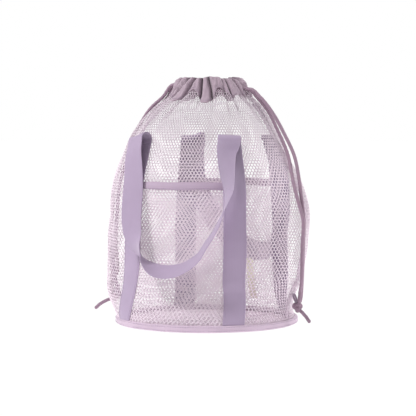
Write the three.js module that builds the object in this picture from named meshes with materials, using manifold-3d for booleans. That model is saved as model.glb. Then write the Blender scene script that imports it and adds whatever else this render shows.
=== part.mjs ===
// A gathered mesh laundry bag with two webbing handles, two drawcords and two outside pockets.
// Millimetres, +Z up, front towards -Y, +X to the right. The origin is the centre of the base's underside.
import * as THREE from "three";
import { mergeVertices } from "three/addons/utils/BufferGeometryUtils.js";
import Module from "manifold-3d";

// ---- Driving dimensions ----

const BASE = { radius: 120.4, thickness: 2 };
const BINDING = { inner: 120.8, outer: 126, bottom: 0.4, top: 8.6, round: 1.8 };

// The side wall, row by row: height, half width along X, half depth along Y, lean along X.
const WALL_ROWS = [
  [4, 123, 123, 0],
  [12, 124, 119, -3],
  [24, 128, 114, -6.5],
  [44, 135.5, 105, -8.5],
  [62, 141.5, 101, -4.3],
  [80, 143.8, 98, -2.9],
  [110, 145.5, 96, -0.5],
  [147, 145, 95.5, 2],
  [170, 142.3, 95.5, 1.2],
  [193, 135.8, 95.5, -1],
  [209, 129.3, 94.5, -2.3],
  [230, 118.8, 92, -2.3],
  [260, 102.5, 85, -2.5],
  [290, 82, 68, 1.5],
  [300, 72, 59, 3.5],
  [311, 57, 50, 6],
  [316, 54.4, 48.2, 6],
  [324, 50.7, 45.6, 6],
  [336, 45, 42, 6],
];

const NET = { bottom: 9, top: 310.6, thickness: 1.2, seamGap: 0.25 }; // seamGap in degrees
const CASING = { bottom: 311, top: 336, wall: 1.2, depth: 11, endGap: 12 }; // endGap in degrees
const PLEATS = { count: 14, depth: 0.8 };
const SEAM_TAPE = { width: 10, thickness: 1, gap: 1.3, bottom: 12, top: 300 };
const LABEL = { width: 12, thickness: 0.4, gap: 1.6, bottom: 24, top: 81, x: 28 };

const WEBBING = { width: 30, thickness: 1.6 };
const LEG = { bottom: 9, top: 252, gap: 0.8 };
// Where the sewn straps run: height, distance from the line midway between them, that line's shift along X.
const LEG_ROWS = [
  [8, 79, 0],
  [57, 75, 1.6],
  [130, 74, 3.3],
  [195, 70.7, 4.2],
  [254, 58.5, 5],
];

// The free part of a handle: middle of the webbing, and the webbing's twist in degrees from facing the front.
const FRONT_HANDLE_STATIONS = [
  [-65.5, -89, 254, 8],
  [-66, -90, 240, 12],
  [-66, -92.5, 217, 10],
  [-64.5, -98, 178, 0],
  [-64.5, -101.5, 157, 0],
  [-63, -104.5, 140, 3],
  [-59.5, -107, 124, 12],
  [-54.5, -109, 111, 35],
  [-46, -111, 99, 62],
  [-36, -113, 88.5, 92],
  [-20, -115, 79.5, 116],
  [-5, -115.5, 78, 122],
  [11, -115.5, 81, 122],
  [27, -114.5, 89, 122],
  [38, -113, 98, 121],
  [48, -111, 114, 120],
  [58, -109, 129, 118],
  [70, -106.5, 155, 114],
  [74.5, -103.5, 176, 98],
  [75, -101, 187, 88],
  [73, -98, 203, 76],
  [70.5, -95, 219, 60],
  [70, -91, 240, 30],
  [70, -89, 254, 8],
];
// The back handle lies flatter and sags towards the right. Its twist is measured from facing the back.
const BACK_HANDLE_STATIONS = [
  [66, 88, 254, 8],
  [68, 91, 238, 8],
  [69.5, 96, 205, 5],
  [70, 101, 172, 5],
  [69, 106, 144, 12],
  [65, 110, 120, 25],
  [56, 113.5, 101, 35],
  [42, 116, 91, 32],
  [20, 117, 92, 25],
  [-4, 116, 104, 18],
  [-26, 114, 123, 14],
  [-44, 111, 146, 10],
  [-56, 107, 168, 8],
  [-62, 102, 192, 6],
  [-62, 96, 220, 6],
  [-59, 90, 242, 8],
  [-57, 88, 254, 8],
];

const POCKET = { bottom: 9, top: 185, thickness: 0.8, gap: 0.9, mouth: 5, sideGap: 1.5 };
const POCKET_BINDING = { height: 10, thickness: 2, gap: 0.5 };

// endTurn is the angle over which a cord goes from its way out to the middle of the channel.
const CORD = { radius: 2.5, sides: 8, inset: 5.5, spread: 3.2, endTurn: 0.26 };
const CORD_LEVEL = { right: 320, left: 327.5 };
// A strand outside the bag: height, position along Y, distance from the wall to the cord's middle.
const STRANDS = {
  right_outer: [
    [309, -1, 19],
    [285, -2, 16.5],
    [260, -3, 16],
    [230, -5, 14.5],
    [196, -9, 8],
    [172, -13, 4.2],
    [147, -14, 3.8],
    [110, -12, 3.8],
    [80, -9, 3.8],
    [60, -5, 4],
  ],
  right_inner: [
    [308, -4, 10],
    [292, -6, 5.4],
    [265, -10, 4.4],
    [230, -16, 4.2],
    [196, -27, 4],
    [168, -26, 3.8],
    [147, -20, 3.8],
    [110, -18, 3.8],
    [80, -15, 3.8],
    [60, -11, 4],
  ],
  left_outer: [
    [311, 1, 16],
    [294, 1, 11],
    [276, 0, 5.5],
    [255, 1, 4.4],
    [230, 2, 4.2],
    [196, 4, 4],
    [147, 6, 3.8],
    [100, 8, 3.8],
    [60, 9, 4],
  ],
  left_inner: [
    [310, 5, 10],
    [294, 8, 5.6],
    [276, 10, 4.8],
    [240, 11, 4.4],
    [196, 12, 4],
    [147, 13, 3.8],
    [100, 14.5, 3.8],
    [60, 15.5, 4],
  ],
};

const TAB_Y = { right: 0, left: 12 };
const TAB = { z: 38, height: 5, halfLength: 7.1, halfReach: 4.7, thickness: 1, gap: 2 };
const KNOT = { z: 26, radiusX: 6.6, radiusY: 7.2, radiusZ: 6.8, outward: 2.2 };
// How far each cord's loose end reaches from the middle of its knot.
const TAIL_REACH = { right: [18.5, 0, -21], left: [-18, -19, -16] };

const COLOURS = {
  net: 0xdcc8d8,
  webbing: 0xae9dbb,
  casing: 0xa391a2,
  cord: 0xa98a9e,
  base: 0xd5bfd2,
  tape: 0xc2afc8,
  label: 0xf1ece0,
};

// ---- The side wall's shape ----

// A smooth curve through one column of a table, against its first column.
function columnOf(table, column) {
  const at = table.map((row) => row[0]);
  const values = table.map((row) => row[column]);
  const curve = new THREE.CubicInterpolant(at, values, 1);
  return (z) => curve.evaluate(THREE.MathUtils.clamp(z, at[0], at.at(-1)))[0];
}

const halfWidth = columnOf(WALL_ROWS, 1);
const halfDepth = columnOf(WALL_ROWS, 2);
const lean = columnOf(WALL_ROWS, 3);
const legDistance = columnOf(LEG_ROWS, 1);
const legShift = columnOf(LEG_ROWS, 2);

// A point of the wall's outer surface, moved outwards by offset. Angle 0 is the front, a quarter turn the right.
function wallPoint(angle, z, offset) {
  const a = halfWidth(z);
  const b = halfDepth(z);
  const away = new THREE.Vector3(Math.sin(angle) / a, -Math.cos(angle) / b, 0).normalize();
  return new THREE.Vector3(lean(z) + a * Math.sin(angle), -b * Math.cos(angle), z).addScaledVector(away, offset);
}

// The angle at which the wall's front half stands at x.
function frontAngle(x, z) {
  return Math.asin((x - lean(z)) / halfWidth(z));
}

// How far along the wall one radian of angle goes.
function wallSpeed(angle, z) {
  return Math.hypot(halfWidth(z) * Math.cos(angle), halfDepth(z) * Math.sin(angle));
}

// The wall's x at either side of the bag, at a distance y from the side seam's plane.
function sideX(side, y, z) {
  return lean(z) + side * halfWidth(z) * Math.sqrt(1 - (y / halfDepth(z)) ** 2);
}

// ---- Making solids ----

// A box with segments, bent by a function of its own coordinates, each from 0 to 1.
function bentBox(segmentsX, segmentsY, place) {
  const box = new THREE.BoxGeometry(1, 1, 1, segmentsX, segmentsY, 1);
  const position = box.getAttribute("position");
  for (let i = 0; i < position.count; i++) {
    const at = place(position.getX(i) + 0.5, position.getY(i) + 0.5, position.getZ(i) + 0.5);
    position.setXYZ(i, at.x, at.y, at.z);
  }
  box.computeVertexNormals();
  return box;
}

function cordAlong(points, steps) {
  const corners = Array.from({ length: CORD.sides }, (_, i) => {
    const turn = (2 * Math.PI * i) / CORD.sides;
    return new THREE.Vector2(CORD.radius * Math.cos(turn), CORD.radius * Math.sin(turn));
  });
  return new THREE.ExtrudeGeometry(new THREE.Shape(corners), {
    steps,
    extrudePath: new THREE.CatmullRomCurve3(points, false, "centripetal"),
  });
}

const wasm = await Module();
wasm.setup();

function solidOf(geometry) {
  const bare = geometry.clone();
  bare.deleteAttribute("normal");
  bare.deleteAttribute("uv");
  const merged = mergeVertices(bare);
  return new wasm.Manifold(
    new wasm.Mesh({
      numProp: 3,
      vertProperties: merged.getAttribute("position").array,
      triVerts: new Uint32Array(merged.index.array),
    }),
  );
}

function geometryOf(solid) {
  const mesh = solid.getMesh();
  const geometry = new THREE.BufferGeometry();
  geometry.setAttribute("position", new THREE.BufferAttribute(mesh.vertProperties, 3));
  geometry.setIndex(new THREE.BufferAttribute(mesh.triVerts, 1));
  geometry.computeVertexNormals();
  return geometry;
}

const bag = new THREE.Group();

function addPart(name, geometry, colour) {
  const material = new THREE.MeshStandardMaterial({ color: colour, roughness: 0.85, metalness: 0 });
  const mesh = new THREE.Mesh(geometry, material);
  mesh.name = name;
  bag.add(mesh);
  return mesh;
}

// ---- Base ----

function baseBinding() {
  const { inner, outer, bottom, top, round } = BINDING;
  const outline = [
    [inner, bottom],
    [outer - round, bottom],
    [outer, bottom + round],
    [outer, top - round],
    [outer - round, top],
    [inner, top],
    [inner, bottom],
  ];
  return new THREE.LatheGeometry(outline.map(([r, z]) => new THREE.Vector2(r, z)), 72);
}

const base = addPart(
  "base_panel",
  new THREE.CylinderGeometry(BASE.radius, BASE.radius, BASE.thickness, 72),
  COLOURS.base,
);
base.rotation.x = Math.PI / 2;
base.position.z = BASE.thickness / 2;

const binding = addPart("base_binding", baseBinding(), COLOURS.tape);
binding.rotation.x = Math.PI / 2;

// ---- Net body: two halves that meet at the side seams ----

function netHalf(middleAngle) {
  const half = Math.PI / 2 - THREE.MathUtils.degToRad(NET.seamGap);
  return bentBox(28, 22, (across, up, out) =>
    wallPoint(
      middleAngle + half * (2 * across - 1),
      THREE.MathUtils.lerp(NET.bottom, NET.top, up),
      NET.thickness * (out - 1),
    ),
  );
}

addPart("body_front_mesh", netHalf(0), COLOURS.net);
addPart("body_back_mesh", netHalf(Math.PI), COLOURS.net);

// A flat strip on the wall: across runs with the angle, up with the height, out away from the bag.
function wallStrip(middleAngle, bottom, top, width, firstOffset, thickness, segmentsAcross, segmentsUp) {
  return bentBox(segmentsAcross, segmentsUp, (across, up, out) => {
    const z = THREE.MathUtils.lerp(bottom, top, up);
    const middle = middleAngle(z);
    const angle = middle + (width * (across - 0.5)) / wallSpeed(middle, z);
    return wallPoint(angle, z, firstOffset + thickness * out);
  });
}

function seamTape(side) {
  const offset = -NET.thickness - SEAM_TAPE.gap - SEAM_TAPE.thickness;
  const { bottom, top, width, thickness } = SEAM_TAPE;
  return wallStrip(() => (side * Math.PI) / 2, bottom, top, width, offset, thickness, 2, 16);
}

addPart("side_seam_tape_right", seamTape(1), COLOURS.tape);
addPart("side_seam_tape_left", seamTape(-1), COLOURS.tape);

// A blank care label, hanging from the base seam inside the back.
function careLabel() {
  const offset = -NET.thickness - LABEL.gap - LABEL.thickness;
  const middle = (z) => Math.PI - frontAngle(LABEL.x, z);
  return wallStrip(middle, LABEL.bottom, LABEL.top, LABEL.width, offset, LABEL.thickness, 1, 6);
}

addPart("care_label", careLabel(), COLOURS.label);

// ---- Drawcord casing: a pleated fabric channel in two halves, open at its ends ----

function casingRing(middleAngle, overrun, outerInset, innerInset, endInset) {
  const half = Math.PI / 2 - THREE.MathUtils.degToRad(CASING.endGap) + overrun;
  return bentBox(56, 2, (across, up, out) => {
    const angle = middleAngle + half * (2 * across - 1);
    const z = THREE.MathUtils.lerp(CASING.bottom + endInset, CASING.top - endInset, up);
    const pleat = PLEATS.depth * Math.cos(PLEATS.count * angle);
    return wallPoint(angle, z, pleat - THREE.MathUtils.lerp(innerInset, outerInset, out));
  });
}

function casingHalf(middleAngle) {
  const { wall, depth } = CASING;
  const outside = solidOf(casingRing(middleAngle, 0, 0, depth, 0));
  const channel = solidOf(casingRing(middleAngle, 0.2, wall, depth - wall, wall));
  return geometryOf(outside.subtract(channel));
}

addPart("casing_front", casingHalf(0), COLOURS.casing);
addPart("casing_back", casingHalf(Math.PI), COLOURS.casing);

// ---- Drawcords: each runs once round the channel and leaves it at its own side ----

const SIDES = [
  ["right", 1],
  ["left", -1],
];

// Where a cord comes out of the casing. turn is -1 for the strand nearer the front.
function cordExit(side, turn, beyond) {
  const z = side > 0 ? CORD_LEVEL.right : CORD_LEVEL.left;
  return new THREE.Vector3(sideX(side, 0, z) + side * beyond, turn * CORD.spread, z);
}

function cordRun(side) {
  const z = side > 0 ? CORD_LEVEL.right : CORD_LEVEL.left;
  const start = side * (Math.PI / 2) + CORD.endTurn;
  const sweep = 2 * Math.PI - 2 * CORD.endTurn;
  const round = Array.from({ length: 41 }, (_, i) => wallPoint(start + (sweep * i) / 40, z, -CORD.inset));
  return cordAlong(
    [
      cordExit(side, side, 2),
      cordExit(side, side, -2),
      ...round,
      cordExit(side, -side, -2),
      cordExit(side, -side, 2),
    ],
    84,
  );
}

// The tab's eye, which both strands pass through.
function tabMiddle(side) {
  const y = side > 0 ? TAB_Y.right : TAB_Y.left;
  return new THREE.Vector3(sideX(side, y, TAB.z) + side * (TAB.gap + TAB.halfReach), y, TAB.z);
}

function knotMiddle(side) {
  return tabMiddle(side).setZ(KNOT.z).add(new THREE.Vector3(side * KNOT.outward, 0, 0));
}

function cordStrand(side, rows, turn) {
  const eye = tabMiddle(side).add(new THREE.Vector3(0, turn * (CORD.radius + 0.2), 0));
  return cordAlong(
    [
      cordExit(side, turn, 3.2),
      cordExit(side, turn, 6),
      ...rows.map(([z, y, standOff]) => new THREE.Vector3(sideX(side, y, z) + side * standOff, y, z)),
      eye.clone().add(new THREE.Vector3(side * 1.5, 0, 8)),
      eye,
      eye.clone().add(new THREE.Vector3(side * 0.6, 0, -4.4)),
    ],
    52,
  );
}

// A loop of tape on the side seam, standing level so that the cord hangs through it.
function cordTab() {
  const outline = new THREE.Shape();
  outline.absellipse(0, 0, TAB.halfReach, TAB.halfLength, 0, 2 * Math.PI);
  const eye = new THREE.Path();
  eye.absellipse(0, 0, TAB.halfReach - TAB.thickness, TAB.halfLength - TAB.thickness, 0, 2 * Math.PI);
  outline.holes.push(eye);
  return new THREE.ExtrudeGeometry(outline, { depth: TAB.height, bevelEnabled: false, curveSegments: 12 });
}

function cordTail(name) {
  const reach = new THREE.Vector3(...TAIL_REACH[name]);
  const start = KNOT.radiusY + 0.6;
  const tail = new THREE.CapsuleGeometry(CORD.radius, reach.length() - start - 2 * CORD.radius, 3, 10);
  tail.translate(0, (reach.length() + start) / 2, 0);
  tail.applyQuaternion(
    new THREE.Quaternion().setFromUnitVectors(new THREE.Vector3(0, 1, 0), reach.clone().normalize()),
  );
  return tail;
}

// At the right the slack strand is the rear one of the pair; at the left it is the front one.
const SLACK_TURN = { right: 1, left: -1 };

for (const [name, side] of SIDES) {
  const turn = SLACK_TURN[name];
  addPart(`drawcord_run_${name}`, cordRun(side), COLOURS.cord);
  addPart(`drawcord_outer_strand_${name}`, cordStrand(side, STRANDS[`${name}_outer`], turn), COLOURS.cord);
  addPart(`drawcord_inner_strand_${name}`, cordStrand(side, STRANDS[`${name}_inner`], -turn), COLOURS.cord);

  const tab = addPart(`cord_tab_${name}`, cordTab(), COLOURS.tape);
  tab.position.copy(tabMiddle(side)).setZ(TAB.z - TAB.height / 2);

  const knot = addPart(`cord_knot_${name}`, new THREE.SphereGeometry(1, 20, 12), COLOURS.cord);
  knot.scale.set(KNOT.radiusX, KNOT.radiusY, KNOT.radiusZ);
  knot.position.copy(knotMiddle(side));

  addPart(`cord_tail_${name}`, cordTail(name), COLOURS.cord).position.copy(knotMiddle(side));
}

// ---- Webbing straps sewn up the wall, and the handles hanging from them ----

// The middle of a strap, as an angle. The back's straps mirror the front's.
function legAngle(face, side, z) {
  const front = frontAngle(legShift(z) + side * legDistance(z), z);
  return face === "front" ? front : Math.PI - front;
}

function strapLeg(face, side) {
  const { bottom, top, gap } = LEG;
  const middle = (z) => legAngle(face, side, z);
  return wallStrip(middle, bottom, top, WEBBING.width, gap, WEBBING.thickness, 3, 24);
}

// A handle's free webbing. outwards is 1 for the back and -1 for the front.
function handleLoop(stations, outwards) {
  const points = stations.map(([x, y, z]) => new THREE.Vector3(x, y, z));
  const line = new THREE.CatmullRomCurve3(points, false, "centripetal");
  const twist = columnOf(
    stations.map((station, i) => [i / (stations.length - 1), station[3]]),
    1,
  );
  return bentBox(2, 56, (across, along, through) => {
    const tangent = line.getTangent(along);
    const facing = new THREE.Vector3(0, outwards, 0).projectOnPlane(tangent).normalize();
    facing.applyAxisAngle(tangent, THREE.MathUtils.degToRad(twist(along)));
    const width = new THREE.Vector3().crossVectors(tangent, facing);
    return line
      .getPoint(along)
      .addScaledVector(width, WEBBING.width * (across - 0.5))
      .addScaledVector(facing, WEBBING.thickness * (through - 0.5));
  });
}

// ---- Pockets: a net panel between the straps, bound along its mouth ----

// A point of a pocket: across from the left strap to the right one, rise from 0 at the base to 1 at the mouth.
function pocketPoint(face, across, z, offset, rise) {
  const halfStrap = WEBBING.width / 2 + POCKET.sideGap;
  const [first, last] = face === "front" ? [-1, 1] : [1, -1];
  const from = legAngle(face, first, z);
  const to = legAngle(face, last, z);
  const angle = THREE.MathUtils.lerp(
    from + halfStrap / wallSpeed(from, z),
    to - halfStrap / wallSpeed(to, z),
    across,
  );
  const swell = POCKET.mouth * rise ** 3 * 4 * across * (1 - across);
  return wallPoint(angle, z, POCKET.gap + swell + offset);
}

function pocketPanel(face) {
  return bentBox(12, 14, (across, up, out) => {
    const z = THREE.MathUtils.lerp(POCKET.bottom, POCKET.top, up);
    return pocketPoint(face, across, z, out * POCKET.thickness, up);
  });
}

function pocketBinding(face) {
  const bottom = POCKET.top + POCKET_BINDING.gap;
  return bentBox(12, 2, (across, up, out) => {
    const z = THREE.MathUtils.lerp(bottom, bottom + POCKET_BINDING.height, up);
    return pocketPoint(face, across, z, out * POCKET_BINDING.thickness, 1);
  });
}

for (const face of ["front", "back"]) {
  for (const [name, side] of SIDES) {
    addPart(`${face}_strap_${name}`, strapLeg(face, side), COLOURS.webbing);
  }
  addPart(`${face}_pocket_mesh`, pocketPanel(face), COLOURS.net);
  addPart(`${face}_pocket_binding`, pocketBinding(face), COLOURS.tape);
}

addPart("front_handle_loop", handleLoop(FRONT_HANDLE_STATIONS, -1), COLOURS.webbing);
addPart("back_handle_loop", handleLoop(BACK_HANDLE_STATIONS, 1), COLOURS.webbing);

export default bag;
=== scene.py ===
"""A gathered mesh laundry bag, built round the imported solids.

Open hexagonal net walls, a pleated casing at the neck, two drawcords, webbing handles and net pockets.
Lengths are millimetres until a mesh is made. +Z is up and the front faces -Y.
An angle on the wall is 0 at the front and a quarter turn at the right."""

import math

import bpy
import numpy as np
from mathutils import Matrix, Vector


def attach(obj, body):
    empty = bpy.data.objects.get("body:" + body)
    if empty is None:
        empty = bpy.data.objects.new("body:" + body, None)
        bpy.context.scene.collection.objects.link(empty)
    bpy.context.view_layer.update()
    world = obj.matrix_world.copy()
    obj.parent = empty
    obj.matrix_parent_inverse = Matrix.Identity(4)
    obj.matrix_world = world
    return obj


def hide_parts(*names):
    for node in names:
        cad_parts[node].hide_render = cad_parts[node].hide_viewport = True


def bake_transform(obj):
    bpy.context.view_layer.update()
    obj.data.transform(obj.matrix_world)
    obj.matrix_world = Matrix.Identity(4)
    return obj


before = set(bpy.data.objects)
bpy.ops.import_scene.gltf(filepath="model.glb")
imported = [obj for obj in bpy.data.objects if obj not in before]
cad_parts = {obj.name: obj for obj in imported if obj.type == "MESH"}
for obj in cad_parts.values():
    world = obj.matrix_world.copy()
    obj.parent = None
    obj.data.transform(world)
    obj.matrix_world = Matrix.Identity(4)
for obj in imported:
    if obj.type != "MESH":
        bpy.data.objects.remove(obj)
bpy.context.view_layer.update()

MM = 0.001
HALF_TURN = math.pi
UP = np.array([0.0, 0.0, 1.0])

# ---- Sizes ----

NET = {"pitch": 5.3, "row": 4.0, "thread": 0.75, "hole": 0.76, "columns": 74, "bottom": 4.0, "top": 321.0}
# the darkest the woven colours can reach, which only the painted shade brings them to
DARKEST_WEAVE = 0.5
WEBBING_PAINTED_SHADE = 0.26  # painted shade: how much darker a sewn strap is made where its handle shades it
PAINTED_SHADE_HEIGHTS = (165.0, 240.0)  # heights over which that painted shade builds up
# painted shade on the net towards the neck: the heights over which it builds up, and how strong it gets
NET_SHADE = {"heights": (205.0, 290.0), "loss": 0.42}
ROW_STEPS = 15  # a net row's height, in the lattice's own whole steps
HOLE_TIP = 12  # how many of those steps a hole's tip lies above its middle
WALL_MIDDLE = -0.6  # the net's middle, from the solid wall's outer face
WEBBING = {"width": 30.0, "thickness": 1.7, "gap": 1.9}
FOLD_RISE = {-1: 6.5, 1: 6.0}  # of each fold's crest over its strap's top, left and right
FOLD_TILT = {-1: 16.0, 1: 3.0}  # degrees by which each fold's outer end hangs lower, left and right
SPLICE_Z = 246.0  # a sewn strap becomes its handle here
# Each strand becomes a fold over its strap at this height: handle, then left and right.
STRAND_SPLICE_Z = {"front": (100.0, 187.0), "back": (150.0, 150.0)}
TUCK = 0.97  # size of a loop's hidden ends beside the webbing round them
CORD_RADIUS = 2.5
POCKET_TOP = 185.0

# Creases of the gathered neck: angle at the casing's top, angle at its foot, depth, half width.
CREASES = [
    (-75, -80, 6, 2.5),
    (-58, -57, 7, 2.2),
    (-36, -52, 6, 1.8),
    (-16, -40, 8, 1.9),
    (-4, -18, 9, 2.1),
    (7, 7, 10, 1.6),
    (18, 23, 10, 1.7),
    (43, 42, 4, 2.2),
    (48, 52, 9, 1.1),
    (60, 73, 9, 1.2),
    (77, 84, 5, 2.4),
    (104, 99, 8, 2.0),
    (118, 109, 9, 1.6),
    (131, 127, 6, 2.0),
    (146, 143, 9, 1.6),
    (160, 163, 8, 1.8),
    (172, 174, 10, 1.5),
    (186, 190, 8, 2.1),
    (200, 206, 9, 1.5),
    (217, 225, 8, 2.0),
    (231, 242, 10, 1.6),
    (249, 259, 7, 2.3),
]
CREASE_FOOT_Z = 310.0
CROWN = 1.6  # how far the cloth swells between creases

# The casing's lower edge: angle, height.
CASING_FOOT = [
    (-90, 313),
    (-60, 311),
    (-42, 308),
    (-27, 303.5),
    (-18, 308),
    (-13, 314),
    (2, 315),
    (8, 303),
    (13, 301),
    (20, 302),
    (25, 307),
    (29, 317),
    (40, 319),
    (46, 314),
    (51, 306),
    (56, 310),
    (68, 312),
    (74, 310),
    (79, 316),
    (90, 314),
    (110, 310),
    (131, 316),
    (146, 306),
    (160, 314),
    (172, 305),
    (186, 313),
    (200, 306),
    (217, 314),
    (231, 306),
    (250, 312),
    (270, 313),
]

# The casing's upper edge, as a rise or fall from its usual height: angle, rise.
CASING_RIM = [
    (-90, -2),
    (-60, -0.5),
    (-10, 0),
    (5, -1.2),
    (18, 0.8),
    (35, 0),
    (47, -1.8),
    (60, -1.5),
    (75, -4),
    (90, -6),
    (105, -4),
    (125, 0),
    (148, 2.4),
    (170, 1.5),
    (190, 0),
    (225, -0.5),
    (270, -2),
]

# Where the sewn straps run: height, distance from the line midway between them, that line's shift along X.
STRAP_ROWS = [(8, 79, 0), (57, 75, 1.6), (130, 74, 3.3), (195, 70.7, 4.2), (254, 60.5, 3)]

# The free part of each handle: middle of the webbing, and its twist in degrees from facing straight out.
FRONT_HANDLE_STATIONS = [
    (-65, -88.5, 251, 28),
    (-66, -90, 240, 26),
    (-66.3, -92, 222, 14),
    (-65.2, -94, 205, 8),
    (-64.5, -98, 178, 0),
    (-64.5, -101.5, 157, 0),
    (-63, -104.5, 140, 3),
    (-59.5, -107, 124, 12),
    (-54.5, -109, 111, 35),
    (-46, -111, 99, 62),
    (-36, -112.5, 88.5, 92),
    (-20, -114.5, 79.5, 116),
    (-5, -115, 78, 122),
    (11, -115, 81, 122),
    (27, -114.5, 89, 122),
    (38, -113, 98, 121),
    (48, -111, 114, 120),
    (58, -109, 129, 118),
    (70, -106.5, 155, 114),
    (74.5, -103, 176, 98),
    (75.4, -100.5, 187, 88),
    (73.1, -97.5, 203, 76),
    (70.6, -94.5, 219, 67),
    (69, -90, 238, 52),
    (70.5, -86, 251, 30),
]
BACK_HANDLE_STATIONS = [
    (66, 88, 251, 8),
    (68, 91, 238, 8),
    (69.5, 96, 205, 5),
    (70, 101, 172, 5),
    (69, 106, 144, 12),
    (65, 110, 120, 25),
    (56, 113.5, 101, 35),
    (42, 116, 91, 32),
    (20, 117, 92, 25),
    (-4, 116, 104, 18),
    (-26, 114, 123, 14),
    (-44, 111, 146, 10),
    (-56, 107, 168, 8),
    (-62, 102, 192, 6),
    (-62, 96, 220, 6),
    (-59, 90, 242, 8),
    (-57, 88, 251, 8),
]

# How each cord hangs: height, place along Y, and how far it stands off the wall.
STRANDS = {
    "right_outer": [
        (309, -1, 15),
        (285, -2, 13.5),
        (260, -3, 15.2),
        (230, -5, 14.5),
        (196, -11, 8),
        (172, -16, 4.8),
        (147, -17, 4.5),
        (110, -15, 4.5),
        (80, -11, 5.5),
        (60, -6, 7),
    ],
    "right_inner": [
        (308, 2, 9),
        (292, 5, 5.6),
        (265, 7, 4.6),
        (230, -2, 4.4),
        (210, -13, 4.2),
        (196, -19, 4),
        (180, -23.5, 4.6),
        (165, -24.5, 5.6),
        (147, -22.5, 6.8),
        (110, -20.5, 6.8),
        (80, -16.5, 7.8),
        (60, -11.5, 9),
    ],
    "left_outer": [
        (311, 1, 16),
        (294, 1, 11),
        (276, 0, 7),
        (255, 1, 6.8),
        (230, 2, 7),
        (196, 4, 7),
        (147, 6, 7),
        (100, 8, 8),
        (80, 8.5, 8),
        (60, 9, 7),
    ],
    "left_inner": [
        (310, 5, 10),
        (294, 8, 5.6),
        (276, 10, 4.8),
        (240, 11, 4.4),
        (196, 12, 4),
        (147, 13, 3.8),
        (100, 14.5, 3.8),
        (60, 15.5, 4),
    ],
}
CORD_LEVEL = {"right": 320.0, "left": 327.5}
CORD_SPREAD = 3.2
CORD_INSET = 8.6
TAB_Y = {"right": 0.0, "left": 12.0}
TAB = {"height": 12.0, "width": 6.0, "swell": 1.6, "gap": 1.2}
TAB_LEVEL = 38.0
TAB_REACH = 7.2  # from the wall to the middle of the cords
KNOT = {"height": 26.0, "outward": 2.2, "size": 1.6}
# Where each loose end runs, from the middle of its knot.
TAILS = {
    "right": [(2, 0, -3), (8, -0.6, -8), (13.5, -0.2, -14), (18, 0, -20.5)],
    "left": [(-3, -1, -2), (-10, -8, -5.5), (-15.5, -13.5, -9.5), (-21, -19.5, -16)],
}

# ---- Colours, as seen in daylight (sRGB) ----

COLOURS = {
    "net": (0.93, 0.875, 0.915),
    "webbing": (0.67, 0.60, 0.70),
    "casing": (0.68, 0.60, 0.655),
    "cord": (0.60, 0.50, 0.57),
    "base": (0.89, 0.81, 0.87),
    "tape": (0.79, 0.71, 0.78),
    "label": (0.97, 0.95, 0.89),
    "pocket_tape": (0.71, 0.63, 0.71),
}


# ---- Curves and the wall's shape ----


def spline(knots, values, at):
    """Values at `at` on a smooth curve through `values` at `knots`. Each knot may hold several values."""
    knots = np.asarray(knots, float)
    values = np.asarray(values, float)
    slopes = np.gradient(values, knots, axis=0)
    at = np.clip(at, knots[0], knots[-1])
    i = np.clip(np.searchsorted(knots, at, side="right") - 1, 0, len(knots) - 2)
    span = knots[i + 1] - knots[i]
    t = (at - knots[i]) / span
    if values.ndim > 1:
        t = t[..., None]
        span = span[..., None]
    return (
        values[i] * (1 + 2 * t) * (1 - t) ** 2
        + slopes[i] * span * t * (1 - t) ** 2
        + values[i + 1] * t**2 * (3 - 2 * t)
        + slopes[i + 1] * span * t**2 * (t - 1)
    )


def unit(vectors):
    return vectors / np.linalg.norm(vectors, axis=-1, keepdims=True)


def node_points(*nodes):
    """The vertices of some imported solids, in millimetres."""
    found = []
    for node in nodes:
        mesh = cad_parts[node].data
        flat = np.empty(len(mesh.vertices) * 3)
        mesh.vertices.foreach_get("co", flat)
        found.append(flat.reshape(-1, 3) / MM)
    return np.concatenate(found)


def read_rings(points, widen, swell):
    """Height, half width, half depth and lean of each level ring in a solid's vertices."""
    rows = []
    for height in np.unique(points[:, 2].round(1)):
        ring = points[abs(points[:, 2] - height) < 0.2]
        low, high = ring.min(0), ring.max(0)
        half = (high - low) / 2
        rows.append((height, half[0] / widen - swell, half[1] - swell, (low[0] + high[0]) / 2))
    return rows


def read_wall():
    walls = read_rings(node_points("body_front_mesh", "body_back_mesh"), 1.0, 0.0)
    end_gap = math.cos(math.radians(12))  # the casing's halves stop short of the side seams
    casing = read_rings(node_points("casing_front", "casing_back"), end_gap, 0.8)
    tops = [row for row in casing if row[0] > walls[-1][0] + 8]
    return np.array(walls + [tops[-1]])


WALL = read_wall()
CASING_TOP = WALL[-1][0]


def half_sizes(height):
    """Half width, half depth and lean of the wall at a height."""
    shape = spline(WALL[:, 0], WALL[:, 1:], height)
    return shape[..., 0], shape[..., 1], shape[..., 2]


def gather(angle, height, radius):
    """How far the gathers push the cloth out at a point: creases go in, the cloth between them swells."""
    below = np.maximum(CREASE_FOOT_Z - height, 0)
    strength = np.exp(-((below / 34) ** 1.25))
    turned = (1 - np.exp(-np.maximum(CASING_TOP - height, 0) / 24)) / (1 - math.exp(-1))
    push = CROWN * strength
    for top, foot, depth, half_width in CREASES:
        middle = np.radians(top + (foot - top) * turned)
        away = (angle - middle + HALF_TURN) % (2 * HALF_TURN) - HALF_TURN
        width = half_width + 0.15 * below
        push = push - depth * strength * np.exp(-(abs(away * radius / width) ** 1.4))
    wrinkles = 0.45 * np.sin(31 * angle + height / 3.1) + 0.35 * np.sin(53 * angle - height / 4.7)
    return push + wrinkles * strength**3


def fold_depth(angle, height):
    """How deep in a crease a point lies, from 0 to 1."""
    a, b, _ = half_sizes(height)
    return np.clip(-gather(angle, height, np.sqrt(a * b)) / 6, 0, 1)


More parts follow.
